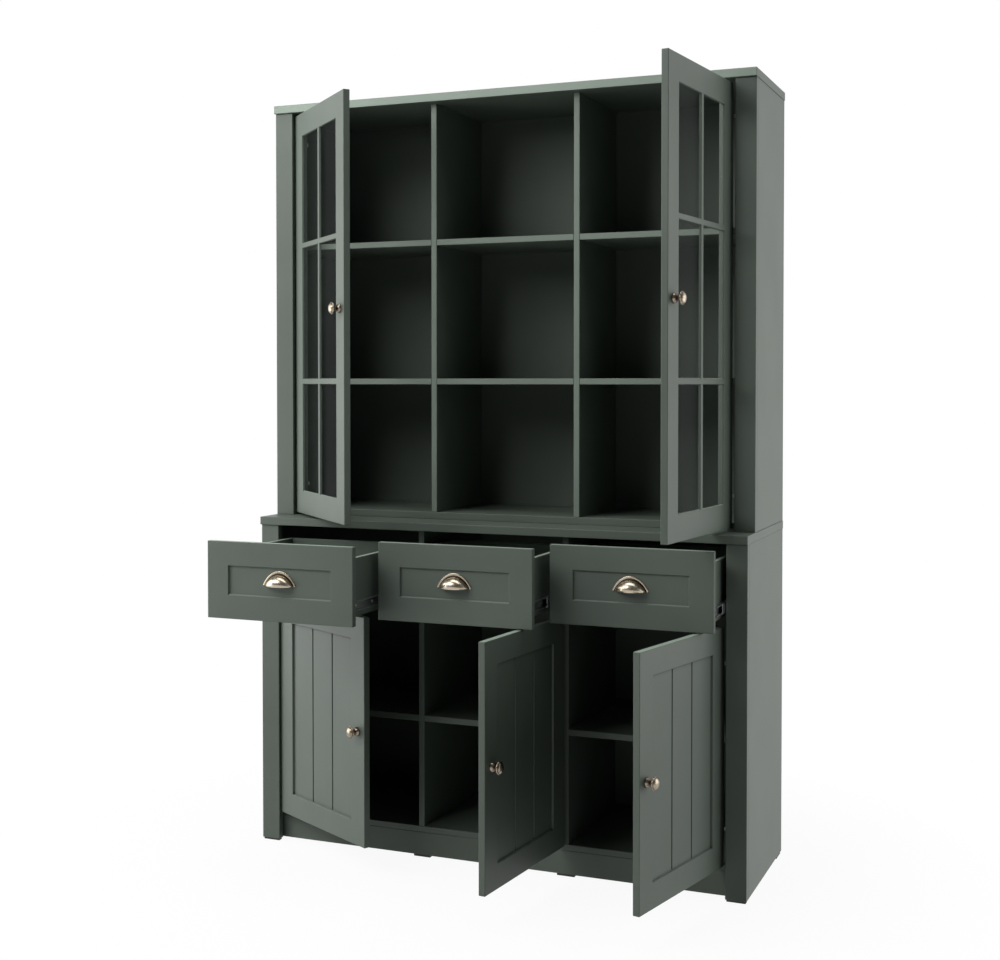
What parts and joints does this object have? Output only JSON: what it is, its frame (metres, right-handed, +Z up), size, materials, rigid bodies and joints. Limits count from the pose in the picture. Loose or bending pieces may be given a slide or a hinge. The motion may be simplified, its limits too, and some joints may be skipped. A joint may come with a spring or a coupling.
{
  "type": "buffet hutch",
  "caption": "Painted dining hutch: base cabinet with drawers over panelled doors under open shelving flanked by glazed doors, on concealed hinges and telescopic slides.",
  "frame": {"origin": "on the floor under the middle of the box that holds the hutch as pictured, with its fronts open; that is on the centre line, just behind the base posts' front faces", "axes": "+X to the right of someone facing the hutch, +Y towards the wall behind it, +Z up"},
  "size_m": [1.27, 0.7581, 1.9],
  "materials": {
    "painted_green": "satin painted fibreboard",
    "back_board": "matt painted thin board",
    "drawer_board": "matt foil board",
    "antique_brass": "aged satin brass",
    "nickel_steel": "nickel plated",
    "zinc_steel": "zinc plated",
    "clear_glass": "clear",
    "black_plastic": "moulded"
  },
  "bodies": {
    "carcass": {"base_right_side": "painted_green", "base_left_side": "painted_green", "base_right_post": "painted_green", "base_left_post": "painted_green", "base_bottom": "painted_green", "base_plinth": "painted_green", "base_right_partition": "painted_green", "base_left_partition": "painted_green", "base_back": "back_board", "base_shelves": "painted_green", "shelf_rests": "black_plastic", "worktop": "painted_green", "floor_pads": "black_plastic", "slide_spacers": "drawer_board", "hutch_right_side": "painted_green", "hutch_left_side": "painted_green", "hutch_right_post": "painted_green", "hutch_left_post": "painted_green", "hutch_bottom": "painted_green", "hutch_right_partition": "painted_green", "hutch_left_partition": "painted_green", "hutch_top": "painted_green", "hutch_back": "back_board", "hutch_lower_shelves": "painted_green", "hutch_upper_shelves": "painted_green", "hinge_arms": "nickel_steel", "cabinet_rails": "zinc_steel"},
    "left_door": {"left_door_panel": "painted_green", "left_door_knob": "antique_brass", "left_door_hinge_cups": "nickel_steel"},
    "middle_door": {"middle_door_panel": "painted_green", "middle_door_knob": "antique_brass", "middle_door_hinge_cups": "nickel_steel"},
    "right_door": {"right_door_panel": "painted_green", "right_door_knob": "antique_brass", "right_door_hinge_cups": "nickel_steel"},
    "left_glass_door": {"left_glass_door_frame": "painted_green", "left_glass_door_glass": "clear_glass", "left_glass_door_knob": "antique_brass", "left_glass_door_hinge_cups": "nickel_steel"},
    "right_glass_door": {"right_glass_door_frame": "painted_green", "right_glass_door_glass": "clear_glass", "right_glass_door_knob": "antique_brass", "right_glass_door_hinge_cups": "nickel_steel"},
    "left_drawer": {"left_drawer_front": "painted_green", "left_drawer_box": "drawer_board", "left_drawer_cup_pull": "antique_brass", "left_drawer_inner_rails": "zinc_steel"},
    "left_drawer_rails": {"left_drawer_middle_rails": "zinc_steel"},
    "middle_drawer": {"middle_drawer_front": "painted_green", "middle_drawer_box": "drawer_board", "middle_drawer_cup_pull": "antique_brass", "middle_drawer_inner_rails": "zinc_steel"},
    "middle_drawer_rails": {"middle_drawer_middle_rails": "zinc_steel"},
    "right_drawer": {"right_drawer_front": "painted_green", "right_drawer_box": "drawer_board", "right_drawer_cup_pull": "antique_brass", "right_drawer_inner_rails": "zinc_steel"},
    "right_drawer_rails": {"right_drawer_middle_rails": "zinc_steel"}
  },
  "joints": [
    {"name": "left_door_hinge", "type": "hinge", "parent": "carcass", "child": "left_door", "pos_m": [-0.567, -0.0055, 0.3495], "axis": [0, 0, -1], "range_deg": [-28.7, 66.3]},
    {"name": "middle_door_hinge", "type": "hinge", "parent": "carcass", "child": "middle_door", "pos_m": [0.18267, -0.0055, 0.3495], "axis": [0, 0, 1], "range_deg": [-83.6, 6.4]},
    {"name": "right_door_hinge", "type": "hinge", "parent": "carcass", "child": "right_door", "pos_m": [0.567, -0.0055, 0.3495], "axis": [0, 0, 1], "range_deg": [-77, 18]},
    {"name": "left_glass_door_hinge", "type": "hinge", "parent": "carcass", "child": "left_glass_door", "pos_m": [-0.567, 0.0705, 1.3575], "axis": [0, 0, -1], "range_deg": [-43.2, 51.8]},
    {"name": "right_glass_door_hinge", "type": "hinge", "parent": "carcass", "child": "right_glass_door", "pos_m": [0.567, 0.0705, 1.3575], "axis": [0, 0, 1], "range_deg": [-83.7, 11.3]},
    {"name": "left_drawer_slide", "type": "slide", "parent": "carcass", "child": "left_drawer", "axis": [0, -1, 0], "range_m": [-0.324, 0.016]},
    {"name": "left_drawer_rails_slide", "type": "slide", "parent": "carcass", "child": "left_drawer_rails", "axis": [0, -1, 0], "range_m": [-0.162, 0.008]},
    {"name": "middle_drawer_slide", "type": "slide", "parent": "carcass", "child": "middle_drawer", "axis": [0, -1, 0], "range_m": [-0.204, 0.136]},
    {"name": "middle_drawer_rails_slide", "type": "slide", "parent": "carcass", "child": "middle_drawer_rails", "axis": [0, -1, 0], "range_m": [-0.102, 0.068]},
    {"name": "right_drawer_slide", "type": "slide", "parent": "carcass", "child": "right_drawer", "axis": [0, -1, 0], "range_m": [-0.1005, 0.2395]},
    {"name": "right_drawer_rails_slide", "type": "slide", "parent": "carcass", "child": "right_drawer_rails", "axis": [0, -1, 0], "range_m": [-0.05025, 0.11975]}
  ],
  "couplings": [
    {"joint": "left_drawer_rails_slide", "follows": "left_drawer_slide", "ratio": 0.5},
    {"joint": "middle_drawer_rails_slide", "follows": "middle_drawer_slide", "ratio": 0.5},
    {"joint": "right_drawer_rails_slide", "follows": "right_drawer_slide", "ratio": 0.5}
  ]
}
